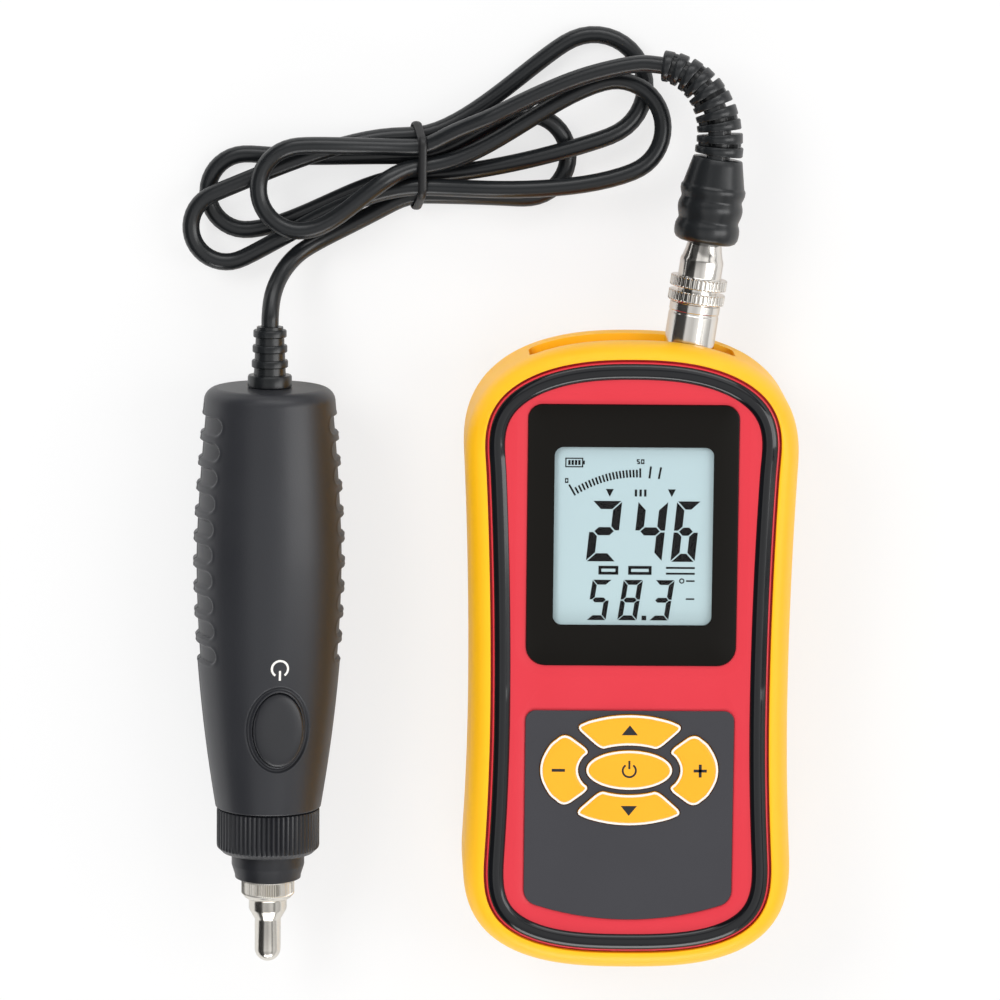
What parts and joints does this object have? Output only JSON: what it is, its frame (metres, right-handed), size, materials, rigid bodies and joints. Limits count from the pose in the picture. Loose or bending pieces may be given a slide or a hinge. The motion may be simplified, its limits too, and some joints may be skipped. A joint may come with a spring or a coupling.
{
  "type": "handheld vibration meter",
  "caption": "Handheld vibration meter in a soft boot, with display, sprung keys, battery door, and a pen probe with contact tip on a plugged lead tied in a hank.",
  "frame": {"origin": "centre of the flat back face on which the booted meter rests", "axes": "+Y along the meter towards the lead socket, +Z out of the display face, +X to the right as the face is read"},
  "size_m": [0.1589, 0.2439, 0.0392],
  "materials": {
    "boot_yellow": "satin elastomer",
    "case_red": "satin moulded plastic",
    "ring_black": "glossy",
    "lens": "clear hard-coated window over a black print",
    "lcd": "liquid crystal glass with a pale reflector",
    "white_plastic": "moulded",
    "conductive_rubber": "layered elastomer",
    "sheet_grey": "fine texture",
    "key_yellow": "satin silicone",
    "spring_steel": "bright",
    "board_green": "solder resist",
    "black_plastic": "fine texture",
    "cell": "printed jacket",
    "steel": "plain",
    "nickel": "satin nickel plate",
    "cord_black": "satin jacket",
    "probe_grey": "satin moulded plastic",
    "ceramic": "fired ceramic",
    "tip_steel": "turned stainless steel"
  },
  "bodies": {
    "meter": {"holster": "boot_yellow", "front_case": "case_red", "rear_case": "case_red", "trim_ring": "ring_black", "display_lens": "lens", "lcd_glass": "lcd", "lcd_frame": "white_plastic", "backlight": "white_plastic", "contact_strips": "conductive_rubber", "keypad_sheet": "sheet_grey", "dome_switches": "spring_steel", "main_board": "board_green", "main_chip": "black_plastic", "board_screws": "steel", "battery": "cell", "battery_snap": "black_plastic", "case_screws": "steel", "socket_shell": "nickel", "socket_nut": "nickel", "socket_insert": "black_plastic"},
    "battery_door": {"battery_door": "case_red"},
    "lead": {"plug_shell": "nickel", "plug_insert": "black_plastic", "plug_boot": "cord_black", "cord_plug_stretch": "cord_black", "cord_hank": "cord_black", "cord_probe_stretch": "cord_black", "cord_tie": "cord_black", "probe_relief": "cord_black", "probe_front_shell": "probe_grey", "probe_rear_shell": "probe_grey", "probe_switch": "black_plastic", "probe_board": "board_green", "probe_screws": "steel", "sensor_body": "steel", "piezo_rings": "ceramic", "sensor_mass": "steel", "nose_sleeve": "black_plastic"},
    "coupling_sleeve": {"coupling_sleeve": "nickel"},
    "probe_button": {"probe_button": "probe_grey"},
    "nose_collar": {"nose_collar": "black_plastic"},
    "contact_tip": {"contact_tip": "tip_steel"},
    "key_top": {"key_top": "key_yellow"},
    "key_left": {"key_left": "key_yellow"},
    "key_centre": {"key_centre": "key_yellow"},
    "key_right": {"key_right": "key_yellow"},
    "key_bottom": {"key_bottom": "key_yellow"}
  },
  "joints": [
    {"name": "key_top_press", "type": "slide", "parent": "meter", "child": "key_top", "axis": [0, 0, -1], "range_m": [0, 0.0005], "stiffness_N_per_m": 800},
    {"name": "key_left_press", "type": "slide", "parent": "meter", "child": "key_left", "axis": [0, 0, -1], "range_m": [0, 0.0005], "stiffness_N_per_m": 800},
    {"name": "key_centre_press", "type": "slide", "parent": "meter", "child": "key_centre", "axis": [0, 0, -1], "range_m": [0, 0.0005], "stiffness_N_per_m": 800},
    {"name": "key_right_press", "type": "slide", "parent": "meter", "child": "key_right", "axis": [0, 0, -1], "range_m": [0, 0.0005], "stiffness_N_per_m": 800},
    {"name": "key_bottom_press", "type": "slide", "parent": "meter", "child": "key_bottom", "axis": [0, 0, -1], "range_m": [0, 0.0005], "stiffness_N_per_m": 800},
    {"name": "battery_door_hinge", "type": "hinge", "parent": "meter", "child": "battery_door", "pos_m": [0, -0.0646, 0.0038], "axis": [-1, 0, 0], "range_deg": [0, 70]},
    {"name": "plug_pull", "type": "slide", "parent": "meter", "child": "lead", "axis": [0.1392, 0.9903, 0], "range_m": [0, 0.012]},
    {"name": "coupling_sleeve_spin", "type": "hinge", "parent": "lead", "child": "coupling_sleeve", "pos_m": [0.0149, 0.0814, 0.019], "axis": [0.1392, 0.9903, 0], "continuous": true},
    {"name": "probe_button_press", "type": "slide", "parent": "lead", "child": "probe_button", "axis": [-0.1736, 0, -0.9848], "range_m": [0, 0.0008], "stiffness_N_per_m": 800},
    {"name": "nose_collar_spin", "type": "hinge", "parent": "lead", "child": "nose_collar", "pos_m": [-0.0933, -0.048, 0.0196], "axis": [0, 1, 0], "continuous": true},
    {"name": "contact_tip_spin", "type": "hinge", "parent": "lead", "child": "contact_tip", "pos_m": [-0.0933, -0.066, 0.0196], "axis": [0, 1, 0], "continuous": true}
  ]
}
